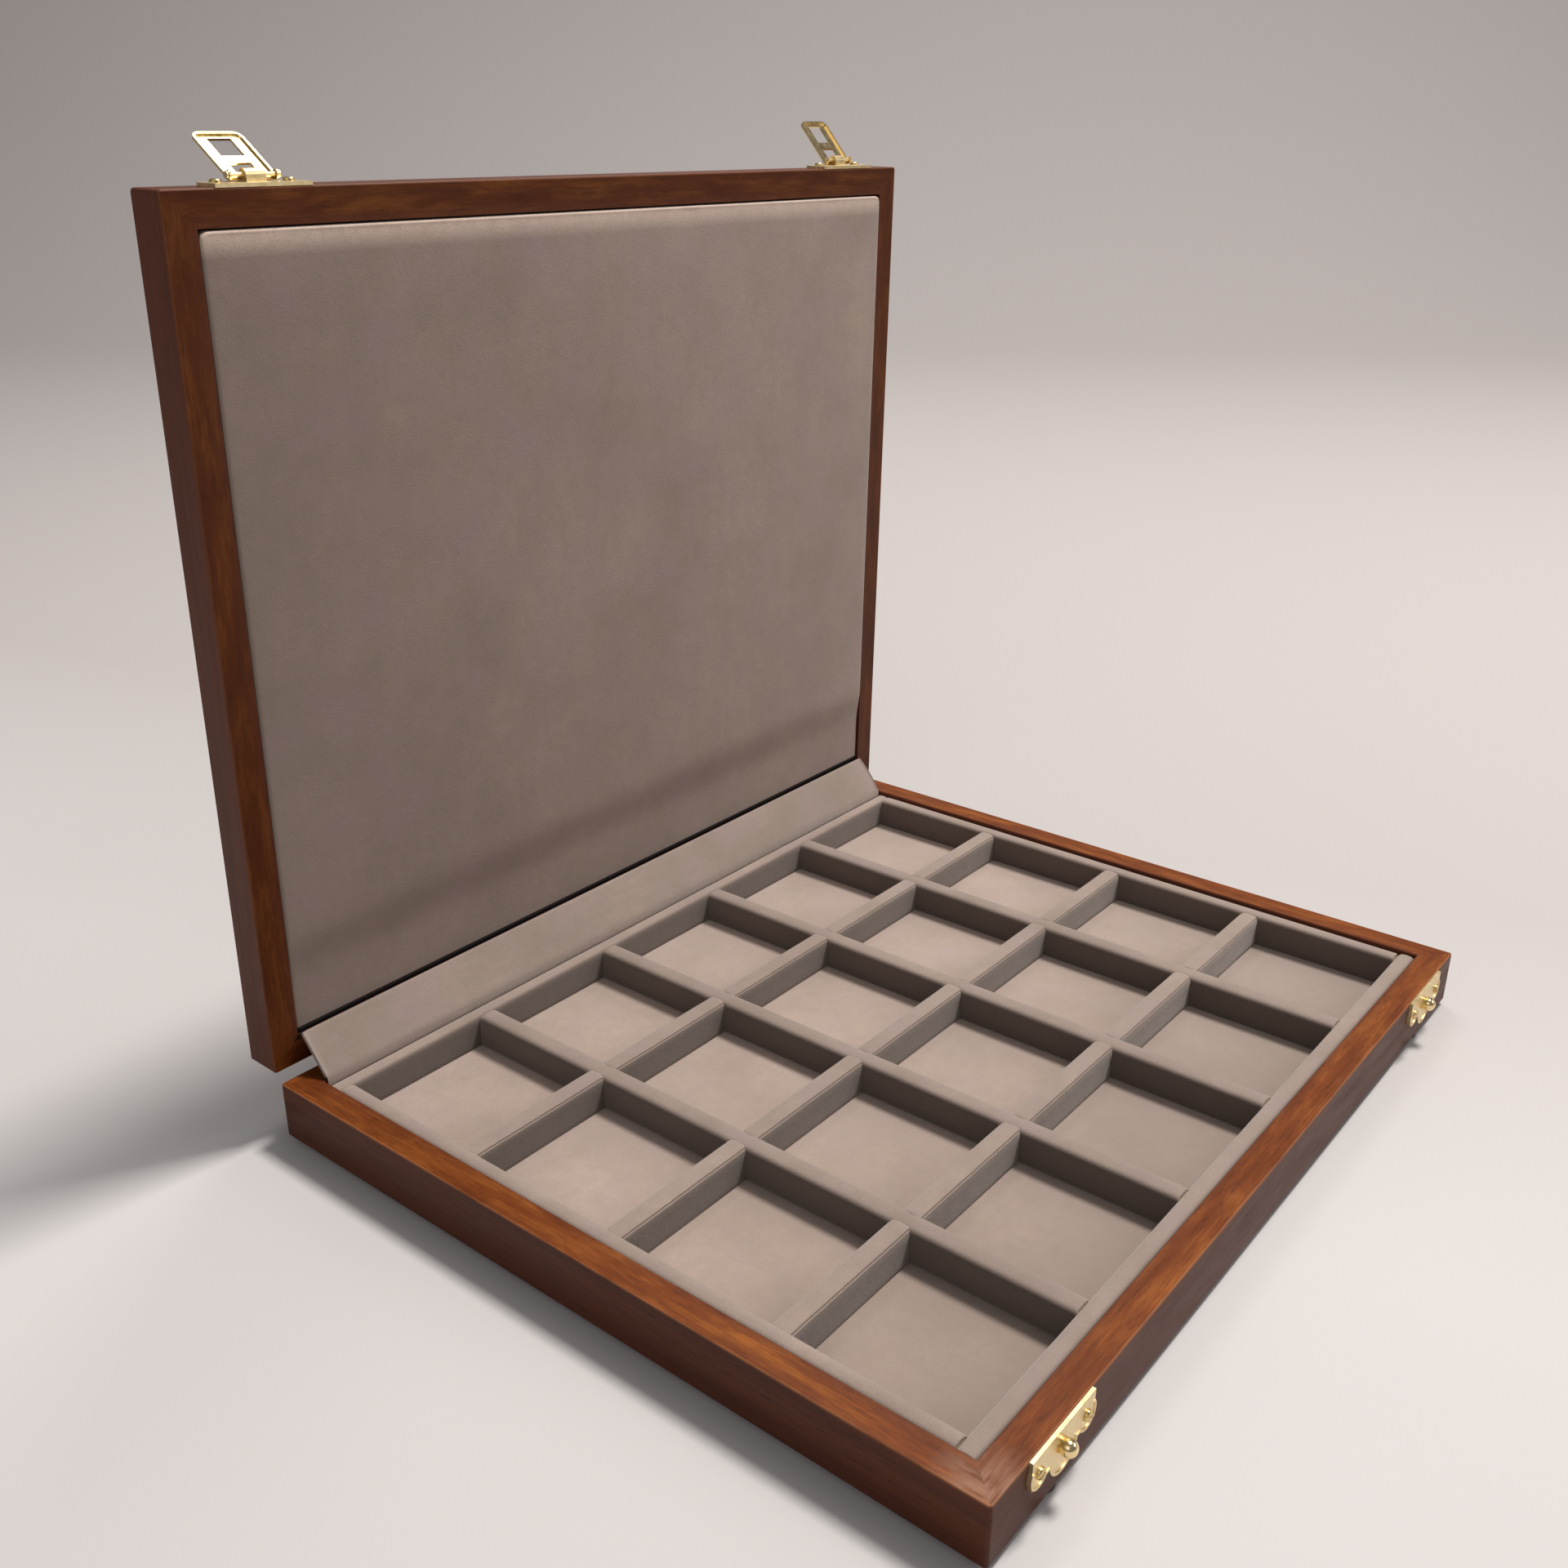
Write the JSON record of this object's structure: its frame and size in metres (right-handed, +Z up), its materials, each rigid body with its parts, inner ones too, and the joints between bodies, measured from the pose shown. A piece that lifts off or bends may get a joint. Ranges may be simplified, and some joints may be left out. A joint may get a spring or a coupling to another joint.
{
  "type": "coin display box",
  "caption": "Hinged wooden display box with a velvet tray of square coin cells, a padded lid and brass swing latches.",
  "frame": {"origin": "on the surface that the feet stand on, under the middle of the opened box's bounding box, which is 6.8 mm behind the middle of the base because the lid and levers reach back", "axes": "+Z up, -Y towards the front with the latches, +Y towards the hinges, +X to the right of someone facing the front"},
  "size_m": [0.312, 0.2772, 0.2933],
  "materials": {
    "stained_wood": "dark brown stain under a satin varnish, fine straight grain",
    "stained_panel": "dark brown stained veneer, satin",
    "core_wood": "bare softwood, covered by velvet",
    "board": "grey card, covered by velvet",
    "foam": "soft foam, covered by velvet",
    "velvet": "short pile velvet, taupe",
    "brass": "polished brass",
    "rubber": "matt black rubber"
  },
  "bodies": {
    "base": {"base_front_rail": "stained_wood", "base_back_rail": "stained_wood", "base_left_rail": "stained_wood", "base_right_rail": "stained_wood", "base_bottom_panel": "stained_panel", "rubber_feet": "rubber", "tray_floor_board": "board", "tray_floor_velvet": "velvet", "tray_front_border_core": "core_wood", "tray_front_border_velvet": "velvet", "tray_back_border_core": "core_wood", "tray_back_border_velvet": "velvet", "tray_left_border_core": "core_wood", "tray_left_border_velvet": "velvet", "tray_right_border_core": "core_wood", "tray_right_border_velvet": "velvet", "cross_divider_1_core": "core_wood", "cross_divider_1_velvet": "velvet", "cross_divider_2_core": "core_wood", "cross_divider_2_velvet": "velvet", "cross_divider_3_core": "core_wood", "cross_divider_3_velvet": "velvet", "cross_divider_4_core": "core_wood", "cross_divider_4_velvet": "velvet", "long_divider_1_core": "core_wood", "long_divider_1_velvet": "velvet", "long_divider_2_core": "core_wood", "long_divider_2_velvet": "velvet", "long_divider_3_core": "core_wood", "long_divider_3_velvet": "velvet", "left_hinge_base_leaf": "brass", "left_hinge_pin": "brass", "left_strike_plate": "brass", "left_strike_stud": "brass", "right_hinge_base_leaf": "brass", "right_hinge_pin": "brass", "right_strike_plate": "brass", "right_strike_stud": "brass", "hinge_base_screws": "brass", "strike_screws": "brass"},
    "lid": {"lid_front_rail": "stained_wood", "lid_back_rail": "stained_wood", "lid_left_rail": "stained_wood", "lid_right_rail": "stained_wood", "lid_top_panel": "stained_panel", "lid_pad_board": "board", "lid_pad_foam": "foam", "lid_pad_velvet": "velvet", "left_hinge_lid_leaf": "brass", "left_latch_plate": "brass", "left_latch_pin": "brass", "right_hinge_lid_leaf": "brass", "right_latch_plate": "brass", "right_latch_pin": "brass", "hinge_lid_screws": "brass", "latch_screws": "brass"},
    "flap": {"hinge_flap_card": "board", "hinge_flap_velvet": "velvet"},
    "left_lever": {"left_latch_lever": "brass"},
    "right_lever": {"right_latch_lever": "brass"}
  },
  "joints": [
    {"name": "lid_hinge", "type": "hinge", "parent": "base", "child": "lid", "pos_m": [0, 0.12259, 0.02065], "axis": [1, 0, 0], "range_deg": [0, 89]},
    {"name": "flap_fold", "type": "hinge", "parent": "base", "child": "flap", "pos_m": [0, 0.11049, 0.0206], "axis": [1, 0, 0], "range_deg": [0, 130.35]},
    {"name": "left_lever_swing", "type": "hinge", "parent": "lid", "child": "left_lever", "pos_m": [-0.1255, 0.12341, 0.28], "axis": [1, 0, 0], "range_deg": [-29, 146]},
    {"name": "right_lever_swing", "type": "hinge", "parent": "lid", "child": "right_lever", "pos_m": [0.1255, 0.12341, 0.28], "axis": [1, 0, 0], "range_deg": [-43, 132]}
  ],
  "couplings": [
    {"joint": "flap_fold", "follows": "lid_hinge", "ratio": 1.464}
  ]
}
